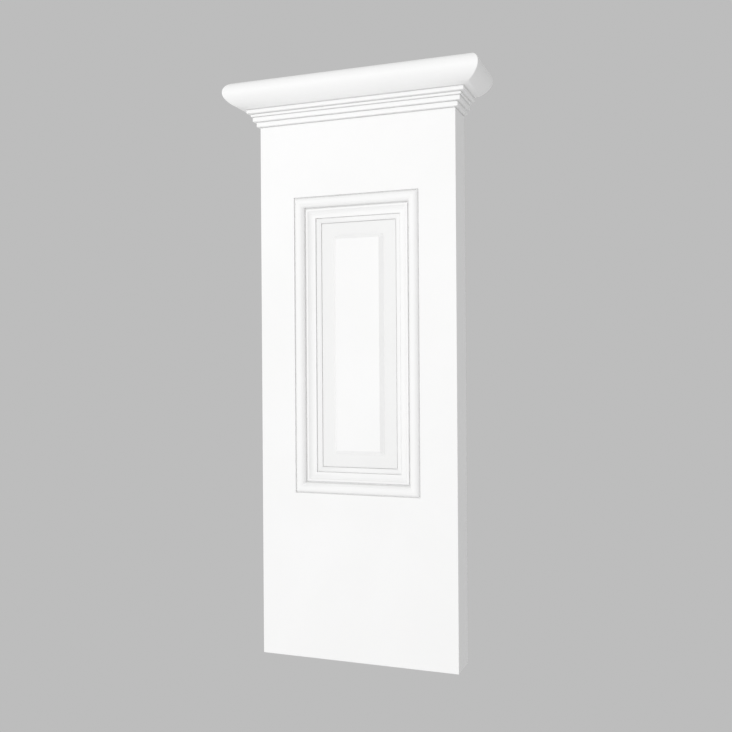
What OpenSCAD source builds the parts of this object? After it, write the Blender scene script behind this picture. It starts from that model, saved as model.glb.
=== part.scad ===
// A panelled stone pilaster: a flat-backed shaft with one framed, raised-and-fielded panel,
// under a moulded cap that returns to the wall at both ends.
// The back lies in the plane y = 0, the face looks towards -Y, and the height runs along Z.

/* [Shaft] */
// Width of the shaft
shaft_w = 350; // [300:5:600]
// Height of the shaft, from its foot to the underside of the cap
shaft_h = 917; // [720:1:1800]
// Depth of the shaft, from the wall to its face
shaft_d = 60; // [40:1:150]

/* [Panel position] */
// Plain face beside the panel, on each side
panel_side = 65.5; // [20:0.5:85]
// Plain face above the panel
panel_top = 130; // [20:1:240]
// Plain face below the panel
panel_foot = 284.5; // [40:0.5:400]

/* [Panel frame] */
// Width of the quirks, the grooves cut along both sides of the roll
quirk_w = 2.5; // [1:0.1:4]
// Depth of the quirks, below the face outside the roll and below the fillet inside it
quirk_d = 3.5; // [1:0.1:4]
// Width of the fine grooves that part the frame's inner members, and the members of the cap
seam_w = 1; // [0.6:0.1:2]
// Depth of those grooves, below the member that they are cut in
seam_d = 2; // [0.6:0.1:3]
// Radius of the roll that borders the panel
roll_r = 8.5; // [7:0.5:16]
// How far the roll's crest stands proud of the face
roll_rise = 4; // [1:0.5:6.5]
// Depth of the fillet inside the roll, below the face
fillet_d = 4; // [1:0.5:8]
// Width of that fillet, between the inner quirk and the cove
fillet_w = 3; // [1:0.5:7]
// Width of the cove that drops from the fillet
cove_w = 10; // [8:0.5:14]
// Depth of the cove, which runs out level at its foot
cove_d = 6; // [3:0.5:8]
// Flat strip at the foot of the cove
cove_flat = 2; // [0.5:0.5:5]
// Small step down from the cove to the sloping band
cove_step = 2; // [0.5:0.25:3]
// Width of the sloping band
slope_w = 8.5; // [4:0.5:16]
// How far the sloping band falls across its width
slope_drop = 3.5; // [1:0.25:6]
// Small step down from the sloping band to the panel's ground
ground_step = 1; // [0.5:0.25:4]

/* [Raised field] */
// Flat ground left showing round the raised field
ground_w = 22.5; // [8:0.5:30]
// Width of the field's bevelled edge
bevel_w = 6.5; // [3:0.5:12]
// How far the field stands above the ground
field_rise = 7; // [2:0.5:12]

/* [Cap] */
// Heights of the four bed fillets under the nosing, from the lowest up
bed_rise = [8.5, 8, 5, 7]; // [3:0.5:15]
// How far each bed fillet steps out past what is below it
bed_step = [5, 5, 2.5, 5.5]; // [1:0.5:12]
// Radius of the nosing's round front
nose_r = 18; // [14:0.5:22]
// Radius of the long curve under the nosing
soffit_r = 34; // [30:0.5:48]
// Drop from the nosing's centre line to the foot of that curve
soffit_drop = 24.5; // [23:0.5:28]

/* [Hidden] */
$fn = 96;
// how far cuts run past the surfaces that they open, and how deep added stone is rooted
over = 1;

function total(list, count) = count == 0 ? 0 : list[count - 1] + total(list, count - 1);

// panel, measured over the outside of its roll
panel_w = shaft_w - 2 * panel_side;
panel_h = shaft_h - panel_foot - panel_top;
panel_mid = panel_foot + panel_h / 2;

// depths below the face at which the frame's members start and end
cove_foot_d = fillet_d + cove_d;
slope_top_d = cove_foot_d + cove_step;
slope_foot_d = slope_top_d + slope_drop;
ground_d = slope_foot_d + ground_step;

// the roll is a round bar sunk in the face, so its width follows from its radius and its rise
roll_sunk = roll_r - roll_rise;
roll_out = sqrt(pow(roll_r, 2) - pow(roll_sunk, 2));
roll_in = sqrt(pow(roll_r, 2) - pow(roll_sunk - fillet_d, 2));

// distances inwards from the outside of the roll
fillet_in = roll_out + roll_in;
cove_in = fillet_in + quirk_w + fillet_w;
slope_in = cove_in + cove_w + cove_flat;
ground_in = slope_in + slope_w;
field_in = ground_in + ground_w;

// the cove's radius, at which it is level at its foot and meets the fillet at its head
cove_r = (pow(cove_w, 2) + pow(cove_d, 2)) / (2 * cove_d);

// cap, measured from the underside of its lowest fillet
bed_out = total(bed_step, len(bed_step));
bed_h = total(bed_rise, len(bed_rise));
nose_z = bed_h + soffit_drop;
nose_centre_out = bed_out + sqrt(pow(soffit_r - nose_r, 2) - pow(soffit_r - soffit_drop, 2));
nose_out = nose_centre_out + nose_r;
cap_h = nose_z + nose_r;
total_h = shaft_h + cap_h;

// Mirrors a half section so that it stands on both sides of the centre line.
module both_sides() {
    for (side = [0, 1])
        mirror([side, 0])
            children();
}

// A block with one edge section on all four sides, mitred at its corners.
// The section is drawn for a half width of $half: its x runs across and its y out of the stone.
module mitred_block(half_x, half_z) {
    intersection() {
        rotate([0, 0, 180])
            linear_extrude(2 * (half_z + quirk_w), center = true)
                let ($half = half_x)
                    both_sides()
                        children();
        rotate([180, -90, 0])
            linear_extrude(2 * (half_x + quirk_w), center = true)
                let ($half = half_z)
                    both_sides()
                        children();
    }
}

// Places a block centred on the panel, with its y = 0 in the plane of the face.
module on_panel() {
    translate([0, -shaft_d, panel_mid])
        mitred_block(panel_w / 2, panel_h / 2)
            children();
}

// Section that sinks the face to the foot of the quirk; the roll then fills its inner side.
module quirk_section() {
    translate([0, -quirk_d])
        square([$half + quirk_w, quirk_d + over]);
}

// Section of the roll, and of the stone that it frames.
module roll_section() {
    translate([$half - roll_out, -roll_sunk])
        circle(roll_r);
    translate([0, -ground_d])
        square([$half - roll_out, ground_d + roll_rise]);
}

// Section of the panel's opening: inner side of the roll, fillet, cove, sloping band, ground.
module opening_section() {
    difference() {
        translate([0, -fillet_d])
            square([$half - roll_out, fillet_d + roll_rise + over]);
        translate([$half - roll_out, -roll_sunk])
            circle(roll_r);
    }
    translate([$half - cove_in - cove_w, -cove_foot_d])
        intersection() {
            translate([0, cove_r])
                circle(cove_r);
            square([cove_w, cove_d + over]);
        }
    polygon([
        [0, -fillet_d],
        [$half - cove_in - cove_w, -fillet_d],
        [$half - cove_in - cove_w, -cove_foot_d],
        [$half - slope_in, -cove_foot_d],
        [$half - slope_in, -slope_top_d],
        [$half - ground_in, -slope_foot_d],
        [$half - ground_in, -ground_d],
        [0, -ground_d]
    ]);
}

// A block against the wall that stands out this far past the shaft, with a fine groove cut in
// along its top.
module tier(out, foot_z, height) {
    for (size = [[out, height - seam_w], [out - seam_d, height]])
        translate([-shaft_w / 2 - size[0], -shaft_d - size[0], foot_z])
            cube([shaft_w + 2 * size[0], shaft_d + size[0], size[1]]);
}

// A groove round the panel: its outer wall is inset this far from the outside of the roll, and
// its depth is measured below the member on its inner side.
module groove(width, depth, inset, member_d) {
    translate([0, member_d + depth - shaft_d, panel_mid])
        rotate([90, 0, 0])
            linear_extrude(depth + over)
                difference() {
                    square([panel_w - 2 * inset, panel_h - 2 * inset], center = true);
                    square(
                        [panel_w - 2 * (inset + width), panel_h - 2 * (inset + width)],
                        center = true
                    );
                }
}

// Section of the raised field, rooted below the ground.
module field_section() {
    polygon([
        [0, -ground_d - over],
        [$half - field_in, -ground_d - over],
        [$half - field_in, -ground_d],
        [$half - field_in - bevel_w, -ground_d + field_rise],
        [0, -ground_d + field_rise]
    ]);
}

// The shaft, with its panel.
module shaft() {
    difference() {
        union() {
            difference() {
                tier(0, 0, shaft_h);
                on_panel() quirk_section();
            }
            on_panel() roll_section();
        }
        on_panel() opening_section();
        groove(quirk_w, quirk_d, fillet_in, fillet_d);
        groove(seam_w, seam_d, slope_in, slope_top_d);
        groove(seam_w, seam_d, ground_in, ground_d);
    }
    on_panel() field_section();
}

// The stepped fillets that carry the nosing.
module bed() {
    for (i = [0 : len(bed_rise) - 1])
        tier(total(bed_step, i + 1), total(bed_rise, i), bed_rise[i]);
}

// Edge section of the nosing: x runs out from the shaft, y up from the foot of the cap.
module nosing_section(back) {
    soffit_centre = [bed_out, bed_h + soffit_r];
    nose_centre = [nose_centre_out, nose_z];
    reach = 2 * (nose_centre - soffit_centre) * soffit_r / (soffit_r - nose_r);
    polygon([
        [-back, bed_h],
        [bed_out, bed_h],
        [nose_centre_out, nose_z],
        [nose_centre_out, cap_h],
        [-back, cap_h]
    ]);
    translate(nose_centre)
        circle(nose_r);
    intersection() {
        translate(soffit_centre)
            circle(soffit_r);
        polygon([soffit_centre, soffit_centre - [0, 2 * soffit_r], soffit_centre + reach]);
    }
}

// The nosing, whose section returns along both ends to the wall.
module nosing() {
    intersection() {
        rotate([90, 0, 0])
            linear_extrude(shaft_d + nose_out + over)
                both_sides()
                    translate([shaft_w / 2, 0])
                        nosing_section(shaft_w / 2);
        rotate([90, 0, 90])
            linear_extrude(shaft_w + 2 * (nose_out + over), center = true)
                mirror([1, 0])
                    translate([shaft_d, 0])
                        nosing_section(shaft_d);
    }
}

// One carved or cast piece; the origin is at the middle of its flat back.
module pilaster() {
    color("white")
        translate([0, 0, -total_h / 2]) {
            shaft();
            translate([0, 0, shaft_h]) {
                bed();
                nosing();
            }
        }
}

pilaster();
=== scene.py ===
"""Stone pilaster: a panelled shaft under a moulded cap, cut off flat where it meets its wall.

The stone's back lies in the plane y = 0 and its face looks towards -Y. Sizes are in metres.
"""

import math

import bmesh
import bpy
from mathutils import Euler, Matrix, Vector


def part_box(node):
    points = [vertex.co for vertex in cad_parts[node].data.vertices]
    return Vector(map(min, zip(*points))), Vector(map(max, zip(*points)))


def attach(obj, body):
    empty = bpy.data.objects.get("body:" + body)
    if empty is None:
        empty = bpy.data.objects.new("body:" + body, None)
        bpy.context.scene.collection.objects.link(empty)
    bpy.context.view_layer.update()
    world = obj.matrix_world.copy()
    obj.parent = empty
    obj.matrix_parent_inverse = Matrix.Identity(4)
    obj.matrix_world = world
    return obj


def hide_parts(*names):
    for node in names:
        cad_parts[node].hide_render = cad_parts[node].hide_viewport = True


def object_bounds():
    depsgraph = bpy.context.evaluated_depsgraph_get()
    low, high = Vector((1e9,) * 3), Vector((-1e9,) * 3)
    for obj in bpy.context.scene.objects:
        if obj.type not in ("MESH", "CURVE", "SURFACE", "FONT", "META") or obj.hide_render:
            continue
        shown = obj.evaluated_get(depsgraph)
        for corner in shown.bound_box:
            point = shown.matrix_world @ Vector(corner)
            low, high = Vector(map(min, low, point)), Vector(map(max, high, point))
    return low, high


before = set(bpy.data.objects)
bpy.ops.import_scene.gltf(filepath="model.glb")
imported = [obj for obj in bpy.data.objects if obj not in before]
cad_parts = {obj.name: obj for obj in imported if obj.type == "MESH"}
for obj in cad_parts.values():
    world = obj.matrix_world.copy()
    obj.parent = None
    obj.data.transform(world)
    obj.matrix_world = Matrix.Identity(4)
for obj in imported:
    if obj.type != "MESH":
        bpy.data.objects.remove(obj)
cad_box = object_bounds()

MM = 0.001

# Shaft
SHAFT_W = 350 * MM
SHAFT_H = 917 * MM
SHAFT_D = 60 * MM

# Plain face round the panel
PANEL_SIDE = 65.5 * MM
PANEL_TOP = 130 * MM
PANEL_FOOT = 284.5 * MM

# Frame of the panel, from its outside inwards; the quirk runs on both sides of the roll
QUIRK_W = 2.5 * MM
QUIRK_D = 3.5 * MM
ROLL_R = 8.5 * MM
ROLL_RISE = 4 * MM
FILLET_D = 4 * MM
FILLET_W = 3 * MM
COVE_W = 10 * MM
COVE_D = 6 * MM
COVE_FLAT = 2 * MM
COVE_STEP = 2 * MM
SLOPE_W = 8.5 * MM
SLOPE_DROP = 3.5 * MM
GROUND_STEP = 1 * MM
GROUND_W = 22.5 * MM
FIELD_BEVEL_W = 6.5 * MM
FIELD_RISE = 7 * MM

# Fine grooves that part the frame's inner members, and the members of the cap
SEAM_W = 1 * MM
SEAM_D = 2 * MM

# Where the ground lies along Y
GROUND_Y = FILLET_D + COVE_D + COVE_STEP + SLOPE_DROP + GROUND_STEP - SHAFT_D

# The shaft's face ends at the fine groove along its top
SHAFT_FACE_H = SHAFT_H - SEAM_W

# Cap, from its lowest fillet up: each fillet's height and how far it steps out
BED_FILLETS = ((8.5 * MM, 5 * MM), (8 * MM, 5 * MM), (5 * MM, 2.5 * MM), (7 * MM, 5.5 * MM))
NOSE_R = 18 * MM
SOFFIT_R = 34 * MM
SOFFIT_DROP = 24.5 * MM

# Easing of the arrises
SHAFT_ARRIS = 1.2 * MM
CAP_ARRIS = 0.7 * MM
PANEL_ARRIS = 0.3 * MM
ARRIS_STEPS = 3

# Flats that each curve is drawn with
ROLL_STEPS = 20
COVE_STEPS = 12
SOFFIT_STEPS = 14
NOSE_STEPS = 26

# An edge sharper than the first angle is eased; faces within the second are shaded as one
SHARP = math.radians(25)
SMOOTH = math.radians(35)

# Places this near each other are the same; a normal with this much along an axis faces that way
TOUCH = 0.01 * MM
STRAIGHT = 0.9

# Tones of the stone: its clouds run from low to high, and each layer over them has its share; the
# recess layer is painted shade that darkens the panel's sunk ground
STONE_LOW = (0.925, 0.925, 0.922, 1)
STONE_HIGH = (0.945, 0.945, 0.944, 1)
GRAIN_TONE = (0.86, 0.86, 0.85, 1)
DUST_TONE = (0.70, 0.68, 0.64, 1)
# painted shade: the panel's sunk ground is darkened as if the recess were in shade
RECESS_SHADE_TONE = (0.79, 0.79, 0.785, 1)
BACK_TONE = (0.74, 0.735, 0.72, 1)
GRAIN_SHARE = 0.10
DUST_SHARE = 0.10
RECESS_SHADE_SHARE = 0.4
BACK_SHARE = 0.55

# Finish of the stone: roughness of its rubbed faces and how much rougher its back is; height of
# its grain, and the coarse grain's scale beside the fine one's; height and stretch of float marks
RUBBED_ROUGHNESS = (0.42, 0.54)
BACK_ROUGHER = 0.35
GRAIN_HEIGHT = 0.12 * MM
COARSE_GRAIN = 0.22
FLOATED_HEIGHT = 1.2 * MM
FLOAT_SWEEP = (1.0, 1.0, 0.35)

# Depths over which the painted shade on the sunk ground fades in, and in which the back's finish
# holds
RECESS_SHADE_FADE = 3 * MM
BACK_SKIN = 0.2 * MM

# The part of a noise's values that is drawn out to the full range
NOISE_SPREAD = (0.3, 0.7)

# Sockets of a Mix node that blends colours
MIX_FACTOR = 0
MIX_FIRST = 6
MIX_SECOND = 7
MIX_RESULT = 2

# Camera: its place, its turn, its slight tilt and roll in degrees, and its lens in millimetres
CAMERA_PLACE = (0.5386, -1.4726, 0.0066)
CAMERA_TURN = 20.21
CAMERA_TILT = 0.05
CAMERA_ROLL = 0.38
CAMERA_LENS = 44.25
CAMERA_SENSOR = 36

# Surroundings: the backdrop's tone, where the tent is brightest, and the floor
STUDIO_GREY = (0.508, 0.508, 0.508, 1)
TENT_FRONT = (-0.35, -0.94, 0.0)
FLOOR_LOW = (0.52, 0.52, 0.52, 1)
FLOOR_HIGH = (0.56, 0.56, 0.56, 1)
FLOOR_DROP = 0.70
FLOOR_RADIUS = 1.3
FLOOR_FADE = (0.35 * FLOOR_RADIUS, 0.97 * FLOOR_RADIUS)


# ---------------------------------------------------------------- modelling by hand

def deselect_all():
    bpy.ops.object.select_all(action="DESELECT")


def take_up(piece):
    """Makes the piece the only thing selected, and the active one."""
    deselect_all()
    piece.select_set(True)
    bpy.context.view_layer.objects.active = piece


def drop_selection(bm):
    """Clears the selection in edit mode, whatever kind it is."""
    for kind in (bm.faces, bm.edges, bm.verts):
        for part in kind:
            part.select_set(False)


def pick_faces(piece, wanted):
    """In edit mode, selects the faces for which wanted(middle, normal) is true."""
    bpy.ops.mesh.select_mode(type="FACE")
    bm = bmesh.from_edit_mesh(piece.data)
    drop_selection(bm)
    for face in bm.faces:
        if wanted(face.calc_center_median(), face.normal):
            face.select_set(True)
    bmesh.update_edit_mesh(piece.data)


def pick_edges(piece, wanted):
    """In edit mode, selects the edges for which wanted(edge, middle) is true."""
    bpy.ops.mesh.select_mode(type="EDGE")
    bm = bmesh.from_edit_mesh(piece.data)
    drop_selection(bm)
    for edge in bm.edges:
        if wanted(edge, (edge.verts[0].co + edge.verts[1].co) / 2):
            edge.select_set(True)
    bmesh.update_edit_mesh(piece.data)


def arc(centre, radius, start, end, steps):
    """Points on an arc, after its first one, with angles in radians from the first axis."""
    return [
        (centre[0] + radius * math.cos(a), centre[1] + radius * math.sin(a))
        for a in (start + (end - start) * i / steps for i in range(1, steps + 1))
    ]


def cap_section():
    """The cap's edge, as (out from the shaft, up from the shaft's top) points."""
    points, out, up = [(-SEAM_D, -SEAM_W), (-SEAM_D, 0.0)], 0.0, 0.0
    for rise, step in BED_FILLETS:
        out += step
        points.append((out, up))
        up += rise
        points += [(out, up - SEAM_W), (out - SEAM_D, up - SEAM_W), (out - SEAM_D, up)]
    soffit = (out, up + SOFFIT_R)
    nose_drop = SOFFIT_R - SOFFIT_DROP
    nose = (out + math.sqrt((SOFFIT_R - NOSE_R) ** 2 - nose_drop ** 2), soffit[1] - nose_drop)
    turn = math.atan2(nose[1] - soffit[1], nose[0] - soffit[0])
    points.append((out, up))
    points += arc(soffit, SOFFIT_R, -math.pi / 2, turn, SOFFIT_STEPS)
    points += arc(nose, NOSE_R, turn, math.pi / 2, NOSE_STEPS)
    return points


def groove(width, depth, x, member, fall=0.0):
    """A groove whose outer wall is at x, cut below a member that starts there and may fall."""
    floor = member - depth
    return [(x, floor), (x + width, floor), (x + width, member - fall * width)]


def panel_section():
    """The panel's edge, as (in from the outside of its quirk, up from the face) points."""
    sunk = ROLL_R - ROLL_RISE
    roll = (QUIRK_W + math.sqrt(ROLL_R ** 2 - sunk ** 2), -sunk)
    # the quirk has a straight outer wall and a narrow floor, from which the roll rises
    floor_half = math.sqrt(ROLL_R ** 2 - (sunk - QUIRK_D) ** 2)
    points = [(0.0, -QUIRK_D), (roll[0] - floor_half, -QUIRK_D)]
    start = math.atan2(sunk - QUIRK_D, -floor_half)
    end = math.asin((sunk - FILLET_D) / ROLL_R)
    points += arc(roll, ROLL_R, start, end, ROLL_STEPS)
    fillet_x = points[-1][0]
    points += groove(QUIRK_W, QUIRK_D, fillet_x, -FILLET_D)
    x, height = fillet_x + QUIRK_W + FILLET_W, -FILLET_D - COVE_D
    points.append((x, -FILLET_D))
    # the cove runs out level at its foot, over a flat strip and down a small step
    cove_r = (COVE_W ** 2 + COVE_D ** 2) / (2 * COVE_D)
    x += COVE_W
    points += arc(
        (x, height + cove_r), cove_r, -math.pi / 2 - math.asin(COVE_W / cove_r), -math.pi / 2,
        COVE_STEPS,
    )
    x += COVE_FLAT
    points.append((x, height))
    height -= COVE_STEP
    points += groove(SEAM_W, SEAM_D, x, height, SLOPE_DROP / SLOPE_W)
    x, height = x + SLOPE_W, height - SLOPE_DROP
    points.append((x, height))
    height -= GROUND_STEP
    points += groove(SEAM_W, SEAM_D, x, height)
    x += GROUND_W
    points += [(x, height), (x + FIELD_BEVEL_W, height + FIELD_RISE)]
    return points


def draw_up_cap(piece, top_z):
    """Extrudes the shaft's top through the cap's section, on all four sides alike."""
    pick_faces(piece, lambda middle, normal: normal.z > STRAIGHT)
    last_out, last_up = 0.0, -SEAM_W
    for out, up in cap_section():
        bpy.ops.mesh.extrude_region_move(TRANSFORM_OT_translate={"value": (0, 0, up - last_up)})
        bpy.ops.transform.resize(
            value=(
                (SHAFT_W + 2 * out) / (SHAFT_W + 2 * last_out),
                (SHAFT_D + out) / (SHAFT_D + last_out),
                1,
            ),
            center_override=(0, 0, top_z + up),
        )
        last_out, last_up = out, up


def cut_flat_at_wall():
    """Cuts the stone flat where it meets its wall and closes the cut."""
    bpy.ops.mesh.select_all(action="SELECT")
    bpy.ops.mesh.bisect(plane_co=(0, 0, 0), plane_no=(0, 1, 0), use_fill=True, clear_outer=True)


def sink_panel(piece, foot_z):
    """Insets the shaft's face through the panel's section, mitred at its corners."""
    pick_faces(
        piece,
        lambda middle, normal: normal.y < -STRAIGHT and abs(middle.y + SHAFT_D) < TOUCH,
    )
    margin = PANEL_SIDE - QUIRK_W
    bpy.ops.mesh.inset(thickness=margin, depth=0)
    edge_x = SHAFT_W / 2 - margin + TOUCH
    for z, shift in (
        (foot_z + SHAFT_FACE_H - margin, PANEL_SIDE - PANEL_TOP + SEAM_W),
        (foot_z + margin, PANEL_FOOT - PANEL_SIDE),
    ):
        pick_edges(
            piece,
            lambda edge, middle: abs(middle.z - z) < TOUCH
            and all(abs(v.co.x) < edge_x for v in edge.verts)
            and middle.y < TOUCH - SHAFT_D,
        )
        bpy.ops.transform.translate(value=(0, 0, shift))
    mid_z = foot_z + PANEL_FOOT + (SHAFT_H - PANEL_FOOT - PANEL_TOP) / 2
    pick_faces(
        piece,
        lambda middle, normal: normal.y < -STRAIGHT
        and (middle - Vector((0, -SHAFT_D, mid_z))).length < TOUCH,
    )
    last_in, last_height = 0.0, 0.0
    for inwards, height in panel_section():
        # an upright wall is extruded, because it has no width to inset
        if inwards - last_in > TOUCH / 10:
            bpy.ops.mesh.inset(thickness=inwards - last_in, depth=height - last_height)
        else:
            bpy.ops.mesh.extrude_region_move(
                TRANSFORM_OT_translate={"value": (0, last_height - height, 0)}
            )
        last_in, last_height = inwards, height


def ease_arrises(piece, width, zone):
    """Rounds the sharp outer edges whose middle is in the zone, apart from those at the wall.

    The bevel's faces are the same in each run, but it may place some vertices of the rounded
    corners about 0.02 mm differently.
    """
    pick_edges(
        piece,
        lambda edge, middle: edge.is_manifold
        and edge.is_convex
        and edge.calc_face_angle() > SHARP
        and any(v.co.y < -TOUCH for v in edge.verts)
        and zone(middle),
    )
    bpy.ops.mesh.bevel(offset=width, segments=ARRIS_STEPS, profile=0.5, affect="EDGES")


def carve_pilaster():
    """Models the whole stone from a block that reaches as far behind its wall as before it."""
    foot_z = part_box("pilaster")[0].z
    shaft_top = foot_z + SHAFT_H
    deselect_all()
    bpy.ops.mesh.primitive_cube_add(size=1, location=(0, 0, foot_z + SHAFT_FACE_H / 2))
    piece = bpy.context.object
    piece.name = piece.data.name = "panelled_pilaster"
    piece.scale = (SHAFT_W, 2 * SHAFT_D, SHAFT_FACE_H)
    bpy.ops.object.transform_apply(location=True, rotation=True, scale=True)

    bpy.ops.object.mode_set(mode="EDIT")
    draw_up_cap(piece, shaft_top)
    cut_flat_at_wall()
    sink_panel(piece, foot_z)
    bpy.ops.mesh.select_all(action="SELECT")
    bpy.ops.mesh.remove_doubles(threshold=TOUCH)
    bpy.ops.mesh.normals_make_consistent(inside=False)

    panel_x = SHAFT_W / 2 - PANEL_SIDE + 2 * QUIRK_W
    ease_arrises(
        piece,
        PANEL_ARRIS,
        lambda p: abs(p.x) < panel_x and foot_z + TOUCH < p.z < shaft_top - PANEL_TOP / 2,
    )
    ease_arrises(piece, CAP_ARRIS, lambda p: p.z > shaft_top - TOUCH)
    ease_arrises(
        piece,
        SHAFT_ARRIS,
        lambda p: p.z < foot_z + TOUCH
        or (abs(p.x) > SHAFT_W / 2 - TOUCH and p.z < shaft_top - TOUCH)
        or shaft_top - SEAM_W - TOUCH < p.z < shaft_top - TOUCH,
    )
    bpy.ops.object.mode_set(mode="OBJECT")

    take_up(piece)
    bpy.ops.object.shade_smooth_by_angle(angle=SMOOTH)
    weighted = piece.modifiers.new("face_weighted_normals", "WEIGHTED_NORMAL")
    weighted.keep_sharp = True
    bpy.ops.object.modifier_apply(modifier=weighted.name)
    return piece


# ---------------------------------------------------------------- finishes

def new_group(name, inputs, outputs):
    """A shader node group with its sockets; returns its tree, input node and output node."""
    tree = bpy.data.node_groups.new(name, "ShaderNodeTree")
    for label, kind, value in inputs:
        socket = tree.interface.new_socket(label, in_out="INPUT", socket_type=kind)
        if value is not None:
            socket.default_value = value
    for label, kind in outputs:
        tree.interface.new_socket(label, in_out="OUTPUT", socket_type=kind)
    return tree, tree.nodes.new("NodeGroupInput"), tree.nodes.new("NodeGroupOutput")


def add(tree, kind, place, values=(), **settings):
    """A new node at a place, with its settings and its inputs' values or links."""
    node = tree.nodes.new(kind)
    node.location = place
    for key, value in settings.items():
        setattr(node, key, value)
    for socket, value in dict(values).items():
        if isinstance(value, bpy.types.NodeSocket):
            tree.links.new(value, node.inputs[socket])
        else:
            node.inputs[socket].default_value = value
    return node


def blend_colours(tree, place, factor, first, second):
    """A colour mix; returns its colour output."""
    node = add(
        tree, "ShaderNodeMix", place, {MIX_FACTOR: factor, MIX_FIRST: first, MIX_SECOND: second},
        data_type="RGBA",
    )
    return node.outputs[MIX_RESULT]


def maths(tree, place, operation, *values):
    """A sum on the given values or links; returns its result."""
    node = add(tree, "ShaderNodeMath", place, dict(enumerate(values)), operation=operation)
    return node.outputs[0]


def ramp(tree, place, value, low, high):
    """Rises smoothly from nought at low to one at high; returns its result."""
    node = add(
        tree, "ShaderNodeMapRange", place, {"Value": value, "From Min": low, "From Max": high},
        interpolation_type="SMOOTHSTEP",
    )
    return node.outputs["Result"]


def cast_grain_group():
    """Fine grain of fair-faced cast stone: a speckle mask and its height."""
    tree, given, out = new_group(
        "cast_grain",
        [("Vector", "NodeSocketVector", None), ("Grain Size", "NodeSocketFloat", 900.0)],
        [("Speckle", "NodeSocketFloat"), ("Height", "NodeSocketFloat")],
    )
    fine = add(
        tree, "ShaderNodeTexNoise", (0, 100),
        {"Vector": given.outputs["Vector"], "Scale": given.outputs["Grain Size"],
         "Detail": 3.0, "Roughness": 0.6},
    )
    coarse_scale = maths(
        tree, (-200, -150), "MULTIPLY", given.outputs["Grain Size"], COARSE_GRAIN
    )
    coarse = add(
        tree, "ShaderNodeTexNoise", (0, -150),
        {"Vector": given.outputs["Vector"], "Scale": coarse_scale,
         "Detail": 2.0, "Roughness": 0.5},
    )
    both = maths(tree, (220, 0), "ADD", fine.outputs["Fac"], coarse.outputs["Fac"])
    mean = maths(tree, (400, 0), "MULTIPLY", both, 0.5)
    tree.links.new(fine.outputs["Fac"], out.inputs["Speckle"])
    tree.links.new(mean, out.inputs["Height"])
    return tree


def soft_clouds_group():
    """Broad, faint clouds of tone, as a cast surface dries."""
    tree, given, out = new_group(
        "soft_clouds",
        [("Vector", "NodeSocketVector", None), ("Cloud Scale", "NodeSocketFloat", 5.0)],
        [("Cloud", "NodeSocketFloat")],
    )
    noise = add(
        tree, "ShaderNodeTexNoise", (0, 0),
        {"Vector": given.outputs["Vector"], "Scale": given.outputs["Cloud Scale"],
         "Detail": 4.0, "Roughness": 0.55, "Distortion": 0.3},
    )
    cloud = ramp(tree, (220, 0), noise.outputs["Fac"], *NOISE_SPREAD)
    tree.links.new(cloud, out.inputs["Cloud"])
    return tree


def settled_dust_group():
    """A mask for faces that look up, broken up by noise."""
    tree, given, out = new_group(
        "settled_dust",
        [("Vector", "NodeSocketVector", None), ("Steepest", "NodeSocketFloat", 0.55)],
        [("Dust", "NodeSocketFloat")],
    )
    geometry = add(tree, "ShaderNodeNewGeometry", (-400, 0))
    split = add(tree, "ShaderNodeSeparateXYZ", (-200, 0), {0: geometry.outputs["Normal"]})
    upward = ramp(tree, (0, 0), split.outputs["Z"], given.outputs["Steepest"], 1.0)
    noise = add(
        tree, "ShaderNodeTexNoise", (0, -250),
        {"Vector": given.outputs["Vector"], "Scale": 60.0, "Detail": 5.0, "Roughness": 0.6},
    )
    broken = maths(tree, (220, 0), "MULTIPLY", upward, noise.outputs["Fac"])
    tree.links.new(broken, out.inputs["Dust"])
    return tree


def painted_recess_shade_group():
    """A mask for the panel's sunk ground, where painted shade darkens the colour a little as if
    the recess were in shade.
    """
    tree, given, out = new_group(
        "painted_recess_shade",
        [("Vector", "NodeSocketVector", None), ("Ground Y", "NodeSocketFloat", GROUND_Y)],
        [("Ground", "NodeSocketFloat")],
    )
    # painted shade: the mask grows with depth into the recess, on faces that look forward
    split = add(tree, "ShaderNodeSeparateXYZ", (-400, 0), {0: given.outputs["Vector"]})
    shallow = maths(tree, (-200, -150), "SUBTRACT", given.outputs["Ground Y"], RECESS_SHADE_FADE)
    deep = ramp(tree, (0, 0), split.outputs["Y"], shallow, given.outputs["Ground Y"])
    geometry = add(tree, "ShaderNodeNewGeometry", (-400, -300))
    facing = add(tree, "ShaderNodeSeparateXYZ", (-200, -300), {0: geometry.outputs["Normal"]})
    forward = maths(tree, (0, -300), "LESS_THAN", facing.outputs["Y"], -STRAIGHT)
    both = maths(tree, (220, 0), "MULTIPLY", deep, forward)
    tree.links.new(both, out.inputs["Ground"])
    return tree


def floated_back_group():
    """A mask for the unseen back, and the height of its wood-floated finish."""
    tree, given, out = new_group(
        "floated_back",
        [("Vector", "NodeSocketVector", None), ("Float Scale", "NodeSocketFloat", 70.0)],
        [("Back", "NodeSocketFloat"), ("Height", "NodeSocketFloat")],
    )
    split = add(tree, "ShaderNodeSeparateXYZ", (-200, 150), {0: given.outputs["Vector"]})
    at_back = maths(tree, (0, 150), "GREATER_THAN", split.outputs["Y"], -BACK_SKIN)
    swept = add(
        tree, "ShaderNodeVectorMath", (-200, -150), {0: given.outputs["Vector"], 1: FLOAT_SWEEP},
        operation="MULTIPLY",
    )
    noise = add(
        tree, "ShaderNodeTexNoise", (0, -150),
        {"Vector": swept.outputs[0], "Scale": given.outputs["Float Scale"],
         "Detail": 6.0, "Roughness": 0.62, "Distortion": 0.8},
    )
    height = maths(tree, (220, 0), "MULTIPLY", at_back, noise.outputs["Fac"])
    tree.links.new(at_back, out.inputs["Back"])
    tree.links.new(height, out.inputs["Height"])
    return tree


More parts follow.
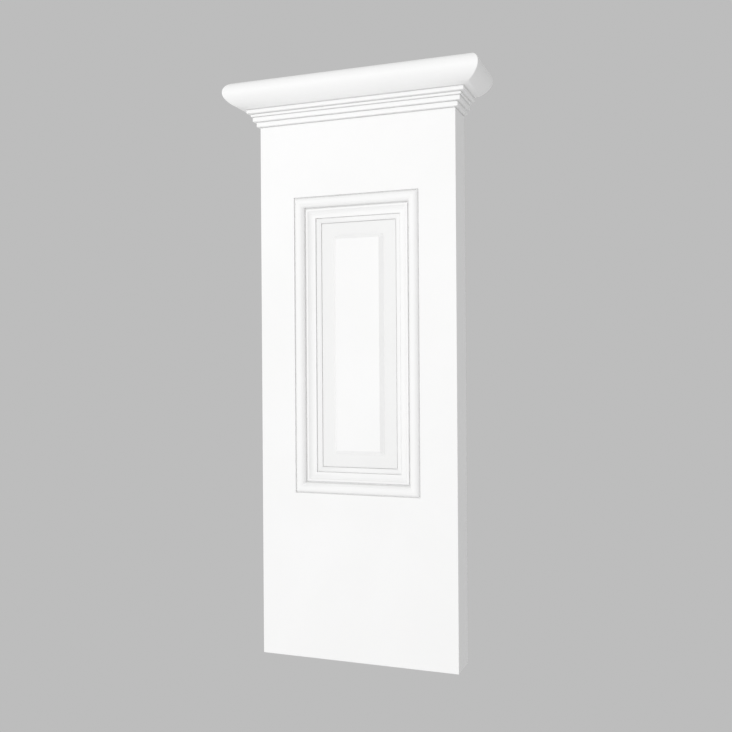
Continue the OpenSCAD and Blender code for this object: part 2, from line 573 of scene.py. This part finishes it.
def white_cast_stone():
    """Smooth white cast stone with a satin, rubbed face and a plain floated back."""
    material = bpy.data.materials.new("white_cast_stone")
    material.use_nodes = True
    tree = material.node_tree
    tree.nodes.clear()
    place = add(tree, "ShaderNodeTexCoord", (-1200, 0)).outputs["Object"]
    groups = {}
    for i, make in enumerate(
        (soft_clouds_group, cast_grain_group, settled_dust_group, painted_recess_shade_group,
         floated_back_group)
    ):
        node = tree.nodes.new("ShaderNodeGroup")
        node.node_tree = make()
        node.location = (-950, 400 - 260 * i)
        tree.links.new(place, node.inputs["Vector"])
        groups[node.node_tree.name] = node.outputs
    speckle = groups["cast_grain"]["Speckle"]
    back = groups["floated_back"]["Back"]

    colour = blend_colours(
        tree, (-600, 350), groups["soft_clouds"]["Cloud"], STONE_LOW, STONE_HIGH
    )
    layers = (
        (speckle, GRAIN_SHARE, GRAIN_TONE),
        (groups["settled_dust"]["Dust"], DUST_SHARE, DUST_TONE),
        # painted shade: the sunk ground is darkened as if in the recess's shade
        (groups["painted_recess_shade"]["Ground"], RECESS_SHADE_SHARE, RECESS_SHADE_TONE),
        (back, BACK_SHARE, BACK_TONE),
    )
    for i, (mask, share, tone) in enumerate(layers):
        factor = maths(tree, (180 * i - 600, 120), "MULTIPLY", mask, share)
        colour = blend_colours(tree, (180 * i - 420, 350), factor, colour, tone)

    rubbed = add(
        tree, "ShaderNodeMapRange", (-400, -150),
        {"Value": speckle, "From Min": NOISE_SPREAD[0], "From Max": NOISE_SPREAD[1],
         "To Min": RUBBED_ROUGHNESS[0], "To Max": RUBBED_ROUGHNESS[1]},
    )
    roughness = maths(
        tree, (-200, -150), "MULTIPLY_ADD", back, BACK_ROUGHER, rubbed.outputs["Result"]
    )
    fine_bump = add(
        tree, "ShaderNodeBump", (0, -250),
        {"Height": groups["cast_grain"]["Height"], "Strength": 0.25, "Distance": GRAIN_HEIGHT},
    )
    back_bump = add(
        tree, "ShaderNodeBump", (200, -250),
        {"Height": groups["floated_back"]["Height"], "Strength": 0.8,
         "Distance": FLOATED_HEIGHT, "Normal": fine_bump.outputs["Normal"]},
    )
    shader = add(
        tree, "ShaderNodeBsdfPrincipled", (420, 150),
        {"Base Color": colour, "Roughness": roughness,
         "Normal": back_bump.outputs["Normal"], "Specular IOR Level": 0.4},
    )
    add(tree, "ShaderNodeOutputMaterial", (720, 150), {"Surface": shader.outputs["BSDF"]})
    return material


# ---------------------------------------------------------------- surroundings

def seen_directly(tree, place):
    """One for camera, glossy and transmission rays, which see the plain backdrop."""
    x, y = place
    path = add(tree, "ShaderNodeLightPath", place).outputs
    seen = maths(tree, (x + 200, y), "MAXIMUM", path["Is Camera Ray"], path["Is Glossy Ray"])
    return maths(tree, (x + 380, y), "MAXIMUM", seen, path["Is Transmission Ray"])


def light_tent(even, frontal):
    """Soft light from all round, brighter from the front left, behind a plain grey backdrop."""
    world = bpy.data.worlds.new("light_tent")
    bpy.context.scene.world = world
    world.use_nodes = True
    tree = world.node_tree
    tree.nodes.clear()
    looking = add(tree, "ShaderNodeTexCoord", (-900, 0)).outputs["Generated"]
    towards = add(
        tree, "ShaderNodeVectorMath", (-700, 0), {0: looking, 1: TENT_FRONT},
        operation="DOT_PRODUCT",
    )
    strength = maths(
        tree, (-500, 0), "MULTIPLY_ADD", towards.outputs["Value"], frontal, even
    )
    light = add(
        tree, "ShaderNodeBackground", (0, 100), {"Color": (1, 1, 1, 1), "Strength": strength}
    )
    backdrop = add(
        tree, "ShaderNodeBackground", (0, -100), {"Color": STUDIO_GREY, "Strength": 1.0}
    )
    mix = add(
        tree, "ShaderNodeMixShader", (250, 0),
        {0: seen_directly(tree, (-500, 250)), 1: light.outputs[0], 2: backdrop.outputs[0]},
    )
    add(tree, "ShaderNodeOutputWorld", (450, 0), {"Surface": mix.outputs[0]})


def studio_floor(foot_z):
    """A plain pale floor some way below the stone; its rim fades into the backdrop."""
    deselect_all()
    bpy.ops.mesh.primitive_circle_add(
        vertices=96, radius=FLOOR_RADIUS, fill_type="NGON", location=(0, 0, foot_z - FLOOR_DROP)
    )
    floor = bpy.context.object
    floor.name = "studio_floor"
    bpy.ops.object.transform_apply(location=True, rotation=True, scale=True)
    material = bpy.data.materials.new("pale_floor")
    material.use_nodes = True
    tree = material.node_tree
    tree.nodes.clear()
    place = add(tree, "ShaderNodeTexCoord", (-900, 0)).outputs["Object"]
    flat = add(
        tree, "ShaderNodeVectorMath", (-700, 0), {0: place, 1: (1.0, 1.0, 0.0)},
        operation="MULTIPLY",
    )
    distance = add(
        tree, "ShaderNodeVectorMath", (-500, 0), {0: flat.outputs[0]}, operation="LENGTH"
    )
    fade = ramp(tree, (-300, 0), distance.outputs["Value"], *FLOOR_FADE)
    mottle = add(
        tree, "ShaderNodeTexNoise", (-500, 250), {"Vector": place, "Scale": 14.0, "Detail": 4.0}
    )
    colour = blend_colours(tree, (-250, 250), mottle.outputs["Fac"], FLOOR_LOW, FLOOR_HIGH)
    matt = add(
        tree, "ShaderNodeBsdfPrincipled", (0, 200), {"Base Color": colour, "Roughness": 0.8}
    )
    backdrop = add(
        tree, "ShaderNodeEmission", (0, -250), {"Color": STUDIO_GREY, "Strength": 1.0}
    )
    mix = add(
        tree, "ShaderNodeMixShader", (300, 0),
        {0: fade, 1: matt.outputs["BSDF"], 2: backdrop.outputs[0]},
    )
    add(tree, "ShaderNodeOutputMaterial", (500, 0), {"Surface": mix.outputs[0]})
    floor.data.materials.append(material)
    floor.visible_diffuse = False
    floor.visible_shadow = False


def soft_box(name, place, aim, size, power):
    """A square area lamp at a place, turned to its aim."""
    deselect_all()
    bpy.ops.object.light_add(type="AREA", location=place)
    lamp = bpy.context.object
    lamp.name = name
    lamp.data.shape = "SQUARE"
    lamp.data.size = size
    lamp.data.energy = power
    lamp.rotation_euler = (Vector(aim) - Vector(place)).to_track_quat("-Z", "Y").to_euler()
    lamp.visible_camera = False


def far_lamp(name, towards, share, spread):
    """Soft, even light from one side; share is how much of full white it adds to a face."""
    deselect_all()
    bpy.ops.object.light_add(type="SUN")
    lamp = bpy.context.object
    lamp.name = name
    lamp.data.energy = share * math.pi
    lamp.data.angle = math.radians(spread)
    lamp.rotation_euler = (-Vector(towards)).to_track_quat("-Z", "Y").to_euler()


def aim_camera():
    """Looks at the stone from half its height, a little to its right."""
    deselect_all()
    turn = (
        Euler((math.radians(90 - CAMERA_TILT), 0, math.radians(CAMERA_TURN))).to_matrix()
        @ Matrix.Rotation(math.radians(-CAMERA_ROLL), 3, "Z")
    )
    bpy.ops.object.camera_add(location=CAMERA_PLACE, rotation=turn.to_euler())
    camera = bpy.context.object
    camera.name = "front_right_camera"
    camera.data.lens = CAMERA_LENS
    camera.data.sensor_width = CAMERA_SENSOR
    camera.data.clip_start = 0.05
    bpy.context.scene.camera = camera


# ---------------------------------------------------------------- scene

aim_camera()
pilaster = carve_pilaster()
pilaster.data.materials.clear()
pilaster.data.materials.append(white_cast_stone())
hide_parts("pilaster")
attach(pilaster, "root")

light_tent(even=0.63, frontal=0.35)
studio_floor(cad_box[0].z)
soft_box("key_lamp", place=(-1.2, -3.4, 1.0), aim=(0, 0, 0.15), size=1.6, power=21)
far_lamp("low_fill", towards=(0.25, -0.45, -0.85), share=0.08, spread=70)
far_lamp("right_fill", towards=(1, -0.25, 0.25), share=0.028, spread=40)
bpy.context.scene.view_settings.view_transform = "Standard"
